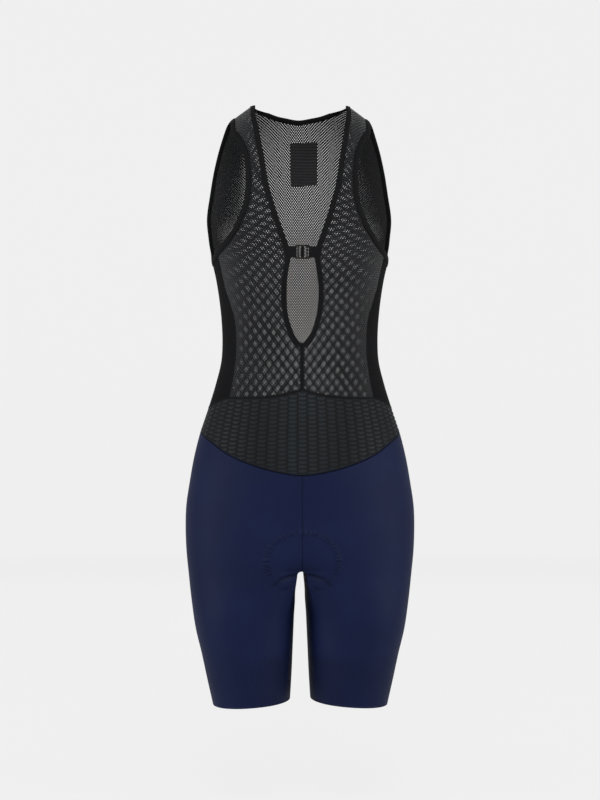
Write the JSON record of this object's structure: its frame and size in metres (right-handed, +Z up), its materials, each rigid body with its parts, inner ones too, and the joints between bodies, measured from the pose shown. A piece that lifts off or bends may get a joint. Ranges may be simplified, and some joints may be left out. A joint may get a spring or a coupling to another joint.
{
  "type": "cycling bib shorts",
  "caption": "Worn cycling bib shorts: padded navy shorts under a textured waist panel and a black mesh bib with a clasped keyhole front, scooped neck and open armholes.",
  "frame": {"origin": "midway between the crests of the shoulder straps, where the wearer's shoulders hold the garment up", "axes": "+Z up, the wearer faces -Y, +X is the wearer's left"},
  "size_m": [0.3284, 0.2236, 0.8589],
  "materials": {
    "net": "open black knitted net",
    "side_jersey": "plain matt black jersey",
    "binding_tape": "folded black elastic tape",
    "waist_knit": "raised black scallop knit",
    "shorts_jersey": "smooth navy stretch jersey",
    "pad_jersey": "brushed jersey over foam",
    "label_weave": "bare woven label",
    "clasp_enamel": "satin black enamel"
  },
  "bodies": {
    "root": {"front_mesh_left": "net", "front_mesh_right": "net", "back_mesh": "net", "side_panel_left": "side_jersey", "side_panel_right": "side_jersey", "neck_binding": "binding_tape", "armhole_binding_left": "binding_tape", "armhole_binding_right": "binding_tape", "clasp_tab_left": "binding_tape", "clasp_tab_right": "binding_tape", "waist_panel": "waist_knit", "shorts_left": "shorts_jersey", "shorts_right": "shorts_jersey", "seat_pad": "pad_jersey", "neck_label": "label_weave", "clasp_loop": "clasp_enamel", "clasp_hook": "clasp_enamel"}
  },
  "joints": []
}
